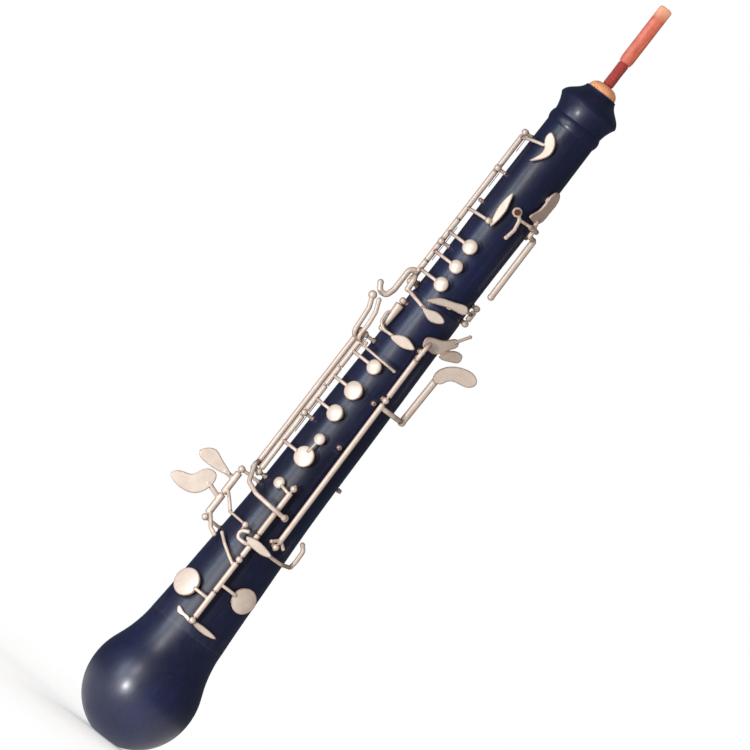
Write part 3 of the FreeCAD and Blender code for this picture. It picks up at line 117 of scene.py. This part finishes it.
class Shader:
    """A small builder for node materials, whose textures follow the piece's own coordinates."""

    def __init__(self, name):
        self.material = bpy.data.materials.new(name)
        self.material.use_nodes = True
        self.tree = self.material.node_tree
        self.tree.nodes.clear()
        self.output = self.tree.nodes.new("ShaderNodeOutputMaterial")
        self.coordinates = self.tree.nodes.new("ShaderNodeTexCoord").outputs["Object"]

    def new(self, kind, **settings):
        made = self.tree.nodes.new(kind)
        for key, value in settings.items():
            setattr(made, key, value)
        return made

    def link(self, source, target):
        self.tree.links.new(source, target)

    def put(self, target, value):
        """Feed an input from a socket, or set it to a fixed value."""
        if isinstance(value, bpy.types.NodeSocket):
            self.link(value, target)
        else:
            target.default_value = value

    def stretched(self, scale):
        mapping = self.new("ShaderNodeMapping")
        mapping.inputs["Scale"].default_value = scale
        self.link(self.coordinates, mapping.inputs["Vector"])
        return mapping.outputs["Vector"]

    def noise(self, scale, detail=3.0, roughness=0.55, stretch=(1, 1, 1), distortion=0.0):
        made = self.new("ShaderNodeTexNoise")
        self.link(self.stretched(stretch), made.inputs["Vector"])
        made.inputs["Scale"].default_value = scale
        made.inputs["Detail"].default_value = detail
        made.inputs["Roughness"].default_value = roughness
        made.inputs["Distortion"].default_value = distortion
        return made.outputs["Fac"]

    def cells(self, scale, stretch=(1, 1, 1), feature="F1"):
        made = self.new("ShaderNodeTexVoronoi", feature=feature)
        self.link(self.stretched(stretch), made.inputs["Vector"])
        made.inputs["Scale"].default_value = scale
        return made.outputs["Distance"]

    def ramp(self, factor, stops):
        made = self.new("ShaderNodeValToRGB")
        elements = made.color_ramp.elements
        while len(elements) < len(stops):
            elements.new(0.5)
        for element, (place, colour) in zip(elements, stops):
            element.position = place
            element.color = (*colour, 1.0)
        self.link(factor, made.inputs["Fac"])
        return made.outputs["Color"]

    def spread(self, factor, low, high, start=0.3, end=0.7):
        """Run from low to high while the factor runs from start to end."""
        made = self.new("ShaderNodeMapRange")
        made.inputs["From Min"].default_value = start
        made.inputs["From Max"].default_value = end
        made.inputs["To Min"].default_value = low
        made.inputs["To Max"].default_value = high
        self.link(factor, made.inputs["Value"])
        return made.outputs["Result"]

    def mix(self, factor, first, second, blend="MIX"):
        made = self.new("ShaderNodeMix", data_type="RGBA", blend_type=blend)
        self.put(made.inputs[0], factor)
        self.put(made.inputs[6], first)
        self.put(made.inputs[7], second)
        return made.outputs[2]

    def maths(self, operation, first, second):
        made = self.new("ShaderNodeMath", operation=operation)
        self.put(made.inputs[0], first)
        self.put(made.inputs[1], second)
        return made.outputs[0]

    def facing(self):
        """0 where the surface faces the viewer, 1 where it turns away."""
        made = self.new("ShaderNodeLayerWeight")
        made.inputs["Blend"].default_value = HALF_BLEND
        return made.outputs["Facing"]

    def rounded(self, radius):
        """Normals that roll over within a radius of each edge."""
        made = self.new("ShaderNodeBevel", samples=6)
        made.inputs["Radius"].default_value = radius
        return made.outputs["Normal"]

    def edges(self, rounded):
        """High where the rounded normal leaves the true one, so along the edges of a plate."""
        made = self.new("ShaderNodeVectorMath", operation="DOT_PRODUCT")
        self.link(rounded, made.inputs[0])
        self.link(self.new("ShaderNodeNewGeometry").outputs["Normal"], made.inputs[1])
        return self.maths("SUBTRACT", 1.0, made.outputs["Value"])

    def pointiness(self):
        """About 0.5 on flat ground, more on ridges and less in hollows."""
        return self.new("ShaderNodeNewGeometry").outputs["Pointiness"]

    def bump(self, height, strength, distance, under=None):
        made = self.new("ShaderNodeBump")
        made.inputs["Strength"].default_value = strength
        made.inputs["Distance"].default_value = distance
        self.link(height, made.inputs["Height"])
        if under is not None:
            self.link(under, made.inputs["Normal"])
        return made.outputs["Normal"]

    def finish(self, **inputs):
        """Close the material with a principled surface; input names use _ for a space."""
        surface = self.new("ShaderNodeBsdfPrincipled")
        for name, value in inputs.items():
            self.put(surface.inputs[name.replace("_", " ")], value)
        self.link(surface.outputs["BSDF"], self.output.inputs["Surface"])
        return self.material


def rgba(red, green, blue):
    """An opaque colour."""
    return (red, green, blue, 1.0)


# ------------------------------------------------------------------- materials

def stained_wood():
    """Dark blue stain over fine grain that runs along the bore, worn paler on its ridges."""
    s = Shader("stained_wood_look")
    blotch = s.noise(14.0, 3.0, 0.5, stretch=(1, 1, 0.35), distortion=0.4)
    grain = s.noise(1.0, 5.0, 0.62, stretch=(900, 900, 22))
    pores = s.cells(1.0, stretch=(1500, 1500, 95))
    tone = s.ramp(blotch, [(0.30, (0.0060, 0.0068, 0.0230)), (0.50, (0.0085, 0.0112, 0.0400)),
                           (0.72, (0.0130, 0.0190, 0.0740))])
    streak = s.ramp(grain, [(0.30, (0.42, 0.44, 0.56)), (0.62, (1.0, 1.0, 1.0)), (0.85, (1.5, 1.5, 1.5))])
    colour = s.mix(1.0, tone, streak, "MULTIPLY")
    worn = s.spread(s.pointiness(), 0.0, 0.55, 0.53, 0.62)
    colour = s.mix(worn, colour, rgba(0.050, 0.052, 0.090))
    roughness = s.spread(s.noise(60.0, 4.0), 0.34, 0.48)
    normal = s.bump(pores, 0.12, 0.0002)
    normal = s.bump(grain, 0.10, 0.0004, normal)
    return s.finish(Base_Color=colour, Roughness=roughness, Normal=normal, Specular_IOR_Level=0.50,
                    Coat_Weight=0.22, Coat_Roughness=0.22, Coat_Tint=rgba(0.86, 0.90, 1.0))


def plated(name, pale, deep_tone_and_shade, edge_and_crevice_shade, metal, rough):
    """Soft champagne plating, pale where it faces out, with painted shade: rosier and then brown towards its
    edges and where it turns away, and brown in its creases.
    """
    s = Shader(name)
    cloud = s.noise(70.0, 4.0, 0.6)
    fine = s.noise(1.0, 4.0, 0.6, stretch=(2600, 2600, 700))
    base = s.mix(s.spread(cloud, 0.0, 0.45), rgba(*pale), rgba(*deep_tone_and_shade))
    soft = s.rounded(EDGE_ROLL)
    # Painted shade: the plating goes towards the deep tone where the surface turns from the viewer and
    # within EDGE_ROLL of each edge.
    turned = s.maths("MAXIMUM", s.spread(s.facing(), 0.0, 0.95, 0.22, 0.58),
                     s.spread(s.edges(soft), 0.0, 0.95, 0.002, 0.030))
    base = s.mix(turned, base, rgba(*deep_tone_and_shade))
    # Painted shade: dark brown along the very edges and where the surface turns far from the viewer, like a
    # drawn outline.
    rim = s.maths("MAXIMUM", s.spread(s.facing(), 0.0, 0.9, 0.50, 0.80),
                  s.spread(s.edges(soft), 0.0, 0.9, 0.025, 0.10))
    base = s.mix(rim, base, rgba(*edge_and_crevice_shade))
    # Painted shade: brown in creases and hollows, broken up by noise.
    hollow = s.spread(s.pointiness(), 0.75, 0.0, 0.40, 0.50)
    crevice_shade_mask = s.maths("MULTIPLY", hollow, s.spread(s.noise(260.0, 5.0), 0.45, 1.0))
    base = s.mix(crevice_shade_mask, base, rgba(*edge_and_crevice_shade))
    bright = s.spread(s.pointiness(), 0.0, 0.35, 0.54, 0.62)
    base = s.mix(bright, base, rgba(0.90, 0.84, 0.76))
    roughness = s.maths("ADD", s.spread(s.noise(120.0, 5.0), rough - 0.05, rough + 0.07),
                        s.spread(fine, -0.03, 0.04))
    normal = s.bump(fine, 0.05, 0.00008, soft)
    normal = s.bump(s.noise(420.0, 3.0), 0.05, 0.0003, normal)
    return s.finish(Base_Color=base, Roughness=roughness, Metallic=metal, Normal=normal,
                    Specular_IOR_Level=0.35, Coat_Weight=0.05, Coat_Roughness=0.2)


def spring_steel():
    """Drawn wire with heat colours."""
    s = Shader("spring_steel_look")
    heat = s.noise(90.0, 2.0, stretch=(1, 1, 3))
    colour = s.ramp(heat, [(0.35, (0.07, 0.09, 0.22)), (0.55, (0.16, 0.13, 0.24)),
                           (0.70, (0.42, 0.27, 0.14))])
    normal = s.bump(s.noise(1.0, 3.0, stretch=(5000, 5000, 400)), 0.12, 0.00005)
    return s.finish(Base_Color=colour, Metallic=1.0, Roughness=s.spread(heat, 0.22, 0.36), Normal=normal)


def pad_skin():
    """Thin skin over felt, with faint veins."""
    s = Shader("pad_skin_look")
    felt = s.noise(1800.0, 5.0, 0.7)
    veins = s.cells(420.0, feature="DISTANCE_TO_EDGE")
    colour = s.ramp(s.noise(230.0, 4.0), [(0.3, (0.62, 0.50, 0.37)), (0.7, (0.80, 0.71, 0.58))])
    colour = s.mix(s.spread(veins, 0.35, 0.0, 0.0, 0.12), colour, rgba(0.50, 0.37, 0.25))
    normal = s.bump(veins, 0.25, 0.0001)
    normal = s.bump(felt, 0.2, 0.0001, normal)
    return s.finish(Base_Color=colour, Roughness=s.spread(felt, 0.45, 0.65), Normal=normal,
                    Subsurface_Weight=0.1, Subsurface_Radius=(0.002, 0.001, 0.0006))


def corked(name, light, dark, speck):
    """Cut bark: pale grains with darker pits and streaks."""
    s = Shader(name)
    grains = s.cells(1150.0)
    lines = s.noise(520.0, 5.0, 0.7, stretch=(1, 1, 2.2))
    colour = s.ramp(lines, [(0.34, dark), (0.55, light), (0.75, tuple(min(1.0, c * 1.12) for c in light))])
    pits = s.spread(s.noise(700.0, 2.0), 0.0, 1.0, 0.60, 0.68)
    colour = s.mix(pits, colour, rgba(*speck))
    edge = s.spread(grains, 0.0, 0.35, 0.35, 0.75)
    colour = s.mix(edge, colour, rgba(*dark))
    normal = s.bump(grains, 0.35, 0.0002)
    normal = s.bump(pits, 0.5, 0.0002, normal)
    return s.finish(Base_Color=colour, Roughness=s.spread(lines, 0.62, 0.85), Normal=normal)


def thread_look():
    """Fuzzy red thread with a visible twist."""
    s = Shader("thread_look")
    twist = s.new("ShaderNodeTexWave", wave_type="BANDS", bands_direction="DIAGONAL")
    s.link(s.stretched((2600, 2600, 5200)), twist.inputs["Vector"])
    twist.inputs["Scale"].default_value = 1.0
    twist.inputs["Distortion"].default_value = 1.5
    fuzz = s.noise(900.0, 5.0, 0.7)
    colour = s.ramp(fuzz, [(0.30, (0.250, 0.022, 0.018)), (0.55, (0.460, 0.045, 0.034)),
                           (0.78, (0.640, 0.110, 0.075))])
    colour = s.mix(s.spread(twist.outputs["Fac"], 0.0, 0.4, 0.0, 1.0), colour, rgba(0.22, 0.015, 0.014))
    normal = s.bump(twist.outputs["Fac"], 0.5, 0.0001)
    return s.finish(Base_Color=colour, Roughness=s.spread(fuzz, 0.5, 0.75), Normal=normal,
                    Sheen_Weight=0.35, Sheen_Roughness=0.4)


def cane_look(low, high):
    """Stained cane: fibres along the length and a paler scraped end."""
    s = Shader("cane_look")
    fibres = s.noise(1.0, 5.0, 0.65, stretch=(3800, 3800, 60))
    cloud = s.noise(160.0, 3.0)
    height = s.new("ShaderNodeSeparateXYZ")
    s.link(s.coordinates, height.inputs[0])
    body = s.ramp(cloud, [(0.3, (0.62, 0.125, 0.075)), (0.7, (0.78, 0.200, 0.120))])
    streak = s.ramp(fibres, [(0.30, (0.66, 0.60, 0.58)), (0.60, (1.0, 1.0, 1.0)), (0.85, (1.22, 1.3, 1.35))])
    body = s.mix(1.0, body, streak, "MULTIPLY")
    scraped = s.mix(1.0, rgba(0.90, 0.42, 0.25), streak, "MULTIPLY")
    span = high - low
    edge = s.maths("ADD", height.outputs["Z"], s.spread(cloud, -0.0015, 0.0015))
    share = s.spread(edge, 0.0, 1.0, low + 0.80 * span, low + 0.93 * span)
    normal = s.bump(fibres, 0.3, 0.0002)
    return s.finish(Base_Color=s.mix(share, body, scraped), Normal=normal,
                    Roughness=s.spread(fibres, 0.36, 0.52), Coat_Weight=0.15, Coat_Roughness=0.3,
                    Subsurface_Weight=0.15, Subsurface_Radius=(0.003, 0.001, 0.0006))


def metal(name, pale, dark, rough):
    """Turned bare metal, darker in its hollows."""
    s = Shader(name)
    cloud = s.noise(300.0, 4.0)
    turned = s.noise(1.0, 3.0, 0.6, stretch=(2500, 2500, 6000))
    colour = s.mix(s.spread(cloud, 0.0, 1.0), rgba(*pale), rgba(*dark))
    hollow = s.spread(s.pointiness(), 0.7, 0.0, 0.38, 0.50)
    colour = s.mix(hollow, colour, rgba(*[c * 0.35 for c in dark]))
    normal = s.bump(turned, 0.12, 0.00006)
    return s.finish(Base_Color=colour, Metallic=0.9, Normal=normal,
                    Roughness=s.spread(cloud, rough - 0.06, rough + 0.08))


blade_low, blade_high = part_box("reed_blades")
LOOKS = {
    "stained_wood": stained_wood(),
    # In the plated looks the deep colour is both a random tone and painted shade, and the dark brown is
    # painted shade at edges and in creases.
    "key_silver": plated("key_silver_look", pale=(0.69, 0.60, 0.515), deep_tone_and_shade=(0.44, 0.29, 0.225),
                         edge_and_crevice_shade=(0.12, 0.050, 0.036), metal=0.20, rough=0.38),
    "rod_steel": plated("rod_steel_look", pale=(0.64, 0.54, 0.46), deep_tone_and_shade=(0.38, 0.25, 0.195),
                        edge_and_crevice_shade=(0.11, 0.045, 0.033), metal=0.25, rough=0.38),
    "spring_steel": spring_steel(),
    "pad_skin": pad_skin(),
    "cork": corked("cork_look", light=(0.62, 0.40, 0.22), dark=(0.36, 0.20, 0.10),
                   speck=(0.12, 0.06, 0.03)),
    "reed_cork": corked("reed_cork_look", light=(0.92, 0.45, 0.22), dark=(0.70, 0.27, 0.12),
                        speck=(0.34, 0.11, 0.05)),
    "thread": thread_look(),
    "cane": cane_look(blade_low.z, blade_high.z),
    "staple_brass": metal("staple_brass_look", pale=(0.78, 0.58, 0.28), dark=(0.52, 0.36, 0.15),
                          rough=0.30),
    "copper": metal("copper_look", pale=(0.58, 0.25, 0.15), dark=(0.34, 0.13, 0.08), rough=0.34),
}


def dress(piece, slot):
    """Give a whole piece one look."""
    piece.data.materials.clear()
    piece.data.materials.append(LOOKS[slot])
    for face in piece.data.polygons:
        face.material_index = 0


for name, node in nodes.items():
    for holder in node.material_slots:
        holder.link = "OBJECT"
        holder.material = LOOKS[slot_of[name]]


# ------------------------------------------------------------- softened pieces

def evaluated(piece):
    """Apply a piece's modifiers to its mesh."""
    graph = bpy.context.evaluated_depsgraph_get()
    mesh = bpy.data.meshes.new_from_object(piece.evaluated_get(graph))
    piece.modifiers.clear()
    old = piece.data
    piece.data = mesh
    bpy.data.meshes.remove(old)


def softened(node_name, voxel, rounds):
    """A copy of a CAD node that stands for it, with every edge rounded as on polished keys."""
    source = nodes[node_name]
    piece = bpy.data.objects.new(node_name + "_shape", source.data.copy())
    bpy.context.scene.collection.objects.link(piece)
    remesh = piece.modifiers.new("remesh", "REMESH")
    remesh.mode = "VOXEL"
    remesh.voxel_size = voxel * MM
    smooth = piece.modifiers.new("smooth", "SMOOTH")
    smooth.factor = 0.5
    smooth.iterations = rounds
    evaluated(piece)
    dress(piece, slot_of[node_name])
    for face in piece.data.polygons:
        face.use_smooth = True
    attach(piece, source["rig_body"])
    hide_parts(node_name)
    return piece


def roughened(piece, scale, depth):
    """Move the surface in and out a little by a fixed noise, for cork."""
    normals = [vertex.normal.copy() for vertex in piece.data.vertices]
    for vertex, normal in zip(piece.data.vertices, normals):
        grain = noise.fractal(vertex.co * scale, 0.6, 2.0, 3)
        pit = min(0.0, noise.noise(vertex.co * scale * 1.7) + 0.28)
        vertex.co += normal * depth * (0.5 * grain + 2.2 * pit)
    piece.data.update()


def nodes_in(*slots):
    """Names of the CAD nodes in these material slots."""
    return sorted(name for name, slot in slot_of.items() if slot in slots)


for key_node in nodes_in("key_silver"):
    softened(key_node, *KEY_SOFTENING)
for pad_node in nodes_in("pad_skin"):
    softened(pad_node, *PAD_SOFTENING)
for cork_node in nodes_in("cork", "reed_cork"):
    roughened(softened(cork_node, *CORK_SOFTENING), CORK_GRAIN, CORK_DEPTH)


# ------------------------------------------------------------------------ reed

def lofted(name, rings, ends="caps"):
    """A mesh through rings of points, all with the same count; its ends are caps, joined or open."""
    mesh = bpy.data.meshes.new(name)
    count = len(rings[0])
    points = [p for ring in rings for p in ring]
    levels = len(rings)
    faces = []
    for level in range(levels if ends == "joined" else levels - 1):
        low, high = level * count, (level + 1) % levels * count
        for i in range(count):
            j = (i + 1) % count
            faces.append((low + i, low + j, high + j, high + i))
    if ends == "caps":
        faces.append(tuple(range(count - 1, -1, -1)))
        faces.append(tuple(range(len(points) - count, len(points))))
    mesh.from_pydata([tuple(p) for p in points], [], faces)
    mesh.update()
    repair = bmesh.new()
    repair.from_mesh(mesh)
    bmesh.ops.recalc_face_normals(repair, faces=repair.faces)
    repair.to_mesh(mesh)
    repair.free()
    piece = bpy.data.objects.new(name, mesh)
    bpy.context.scene.collection.objects.link(piece)
    for face in mesh.polygons:
        face.use_smooth = len(face.vertices) == 4
    return piece


def circle(radius, height, count, waves=0.0, pitch=1.0):
    """A ring of points; waves lifts it along a helix of that pitch."""
    ring = []
    for i in range(count):
        turn = i / count
        angle = math.tau * turn
        reach = radius + waves * abs(math.sin(math.pi * (height / pitch - turn)))
        ring.append((reach * math.cos(angle), reach * math.sin(angle), height))
    return ring


def build_thread():
    """Thread wound turn against turn, thicker in the middle, over the staple and the blades' roots."""
    low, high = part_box("reed_thread")
    wide = high.x
    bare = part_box("reed_staple")[1].x + GAP
    steps = int((high.z - low.z) / THREAD_PITCH * STEPS_PER_TURN)
    rings = []
    for step in range(steps + 1):
        share = step / steps
        swell = min(1.0, share / 0.08, (1.0 - share) / 0.06)
        radius = wide - 0.18 * MM - 0.45 * MM * (1.0 - swell) + 0.05 * MM * math.sin(share * 9.0)
        height = low.z + (high.z - low.z) * share
        rings.append(circle(radius, height, THREAD_SIDES, THREAD_RIDGE, THREAD_PITCH))
    shoulder = low.z + THREAD_CORE_RISE
    for radius, height in ((THREAD_CORE, high.z), (THREAD_CORE, shoulder), (bare, shoulder), (bare, low.z)):
        rings.append(circle(radius, height, THREAD_SIDES))
    piece = lofted("thread_winding", rings, "joined")
    dress(piece, "thread")
    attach(piece, "reed")
    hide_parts("reed_thread")


def blade_ring(side, height, half, rise, wall):
    """One cross-section of a blade: an outer arc and a flatter inner arc."""
    ring = []
    for i in range(BLADE_SIDES + 1):
        across = -1.0 + 2.0 * i / BLADE_SIDES
        outer = rise * (1.0 - across * across) ** 0.72
        ring.append((half * across, -side * (BLADE_GAP + outer), height))
    for i in range(1, BLADE_SIDES):
        across = 1.0 - 2.0 * i / BLADE_SIDES
        inner = max(rise - wall, 0.0) * (1.0 - across * across) ** 0.9
        ring.append((half * across, -side * (BLADE_GAP + inner * 0.98), height))
    return ring


def build_blades():
    """Two scraped cane blades that flare from the thread and thin out to the tip."""
    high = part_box("reed_blades")[1]
    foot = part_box("reed_thread")[1].z + GAP
    half_width = high.x
    thick = high.y
    for side, name in ((1.0, "blade_front"), (-1.0, "blade_back")):
        rings = []
        for step in range(BLADE_STEPS + 1):
            share = step / BLADE_STEPS
            height = foot + (high.z - foot) * share
            flare = min(1.0, share / 0.10)
            half = half_width * (0.86 + 0.14 * math.sin(flare * math.pi / 2))
            past = max(0.0, height - (high.z - BLADE_CORNER))
            half -= BLADE_CORNER - math.sqrt(max(BLADE_CORNER ** 2 - past ** 2, 0.0))
            scraped = max(0.0, (share - SCRAPE_START) / (1.0 - SCRAPE_START))
            rise = (thick - 0.1 * MM) * (1.0 - 0.62 * scraped ** 1.3)
            wall = BLADE_WALL * (1.0 - 0.6 * scraped)
            rings.append(blade_ring(side, height, half, rise, wall))
        piece = lofted(name, rings)
        dress(piece, "cane")
        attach(piece, "reed")
        if side > 0:
            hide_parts("reed_blades")


build_thread()
build_blades()


# ------------------------------------------------------------------------ stage

def floor_look():
    """Pale card that fades away from the oboe and lets light pass up through it."""
    s = Shader("floor_look")
    reach = s.new("ShaderNodeVectorMath", operation="LENGTH")
    s.link(s.coordinates, reach.inputs[0])
    path = s.new("ShaderNodeLightPath")
    fade = s.spread(reach.outputs["Value"], 0.0, 1.0, FADE_START, FADE_END)
    fade = s.maths("MAXIMUM", fade, path.outputs["Is Shadow Ray"])
    tone = s.ramp(s.noise(3.0, 4.0), [(0.3, (0.93, 0.925, 0.92)), (0.7, (0.97, 0.965, 0.96))])
    surface = s.new("ShaderNodeBsdfPrincipled")
    s.link(tone, surface.inputs["Base Color"])
    surface.inputs["Roughness"].default_value = 0.8
    surface.inputs["Specular IOR Level"].default_value = 0.1
    surface.inputs["Emission Color"].default_value = rgba(1.0, 1.0, 1.0)
    surface.inputs["Emission Strength"].default_value = FLOOR_GLOW
    clear = s.new("ShaderNodeBsdfTransparent")
    mixed = s.new("ShaderNodeMixShader")
    s.link(fade, mixed.inputs[0])
    s.link(surface.outputs["BSDF"], mixed.inputs[1])
    s.link(clear.outputs["BSDF"], mixed.inputs[2])
    s.link(mixed.outputs[0], s.output.inputs["Surface"])
    return s.material


def build_stage():
    """The floor, just under the bell's rim."""
    floor = lofted("floor", [circle(radius, -FLOOR_DROP, FLOOR_SIDES) for radius in FLOOR_RADII], "open")
    floor.data.materials.append(floor_look())


def background(tree, colour, strength):
    """A plain surrounding of one colour."""
    made = tree.nodes.new("ShaderNodeBackground")
    made.inputs["Color"].default_value = colour
    made.inputs["Strength"].default_value = strength
    return made.outputs[0]


def chosen(tree, factor, first, second):
    """The first surrounding where the factor is 0, and the second where it is 1."""
    made = tree.nodes.new("ShaderNodeMixShader")
    tree.links.new(factor, made.inputs[0])
    tree.links.new(first, made.inputs[1])
    tree.links.new(second, made.inputs[2])
    return made.outputs[0]


def build_world():
    """A white backdrop for the camera, a soft even light, and a dim blue room in reflections."""
    world = bpy.data.worlds.new("studio")
    world.use_nodes = True
    tree = world.node_tree
    tree.nodes.clear()
    output = tree.nodes.new("ShaderNodeOutputWorld")
    path = tree.nodes.new("ShaderNodeLightPath")
    seen = background(tree, rgba(1.0, 1.0, 1.0), BACKDROP)
    lit = background(tree, rgba(1.0, 0.98, 0.96), ROOM_LIGHT)
    mirrored = background(tree, rgba(0.70, 0.80, 1.0), ROOM_REFLECTION)
    indirect = chosen(tree, path.outputs["Is Glossy Ray"], lit, mirrored)
    tree.links.new(chosen(tree, path.outputs["Is Camera Ray"], indirect, seen), output.inputs["Surface"])
    bpy.context.scene.world = world


def lamp(name, place, target, size, power, colour=(1, 1, 1), glossy=True):
    """An oval lamp at a place, turned to a target; size is its width and height in metres."""
    data = bpy.data.lights.new(name, "AREA")
    data.shape = "ELLIPSE"
    data.size, data.size_y = size
    data.energy = power
    data.color = colour
    made = bpy.data.objects.new(name, data)
    bpy.context.scene.collection.objects.link(made)
    made.location = place
    made.rotation_euler = (Vector(target) - Vector(place)).to_track_quat("-Z", "Y").to_euler()
    made.visible_glossy = glossy


build_stage()
build_world()
MIDDLE = (0, 0, 0.35)
lamp("key_light", (-1.30, -2.0, 0.9), MIDDLE, (0.7, 1.1), 18.0, (1.0, 0.98, 0.95))
lamp("soft_light", (-1.75, -1.25, 0.35), (0, 0, 0.3), (0.5, 1.2), 12.0, (0.72, 0.84, 1.0))
lamp("fill_light", (1.8, -1.4, 0.8), MIDDLE, (1.2, 1.2), 6.0, (1.0, 0.93, 0.86), glossy=False)
lamp("back_light", (0.6, 1.9, 1.3), MIDDLE, (1.2, 1.0), 14.0, glossy=False)
lamp("spark_light", (-0.70, -1.25, -0.20), (0, 0, 0.05), (0.16, 0.16), 16.0)


# ----------------------------------------------------------------------- camera
camera_data = bpy.data.cameras.new("camera")
camera_data.lens = LENS
camera_data.sensor_width = SENSOR
camera_data.clip_end = FAR_CLIP
camera = bpy.data.objects.new("camera", camera_data)
bpy.context.scene.collection.objects.link(camera)
right = Vector((math.cos(VIEW_ROLL), 0.0, math.sin(VIEW_ROLL)))
up = Vector((-math.sin(VIEW_ROLL), 0.0, math.cos(VIEW_ROLL)))
back = Vector((0.0, -1.0, 0.0))
place = Vector(VIEW_TARGET) + back * (VIEW_WIDTH * LENS / SENSOR)
camera.matrix_world = Matrix((
    (right.x, up.x, back.x, place.x),
    (right.y, up.y, back.y, place.y),
    (right.z, up.z, back.z, place.z),
    (0.0, 0.0, 0.0, 1.0)))
bpy.context.scene.camera = camera
bpy.context.scene.view_settings.view_transform = "Standard"
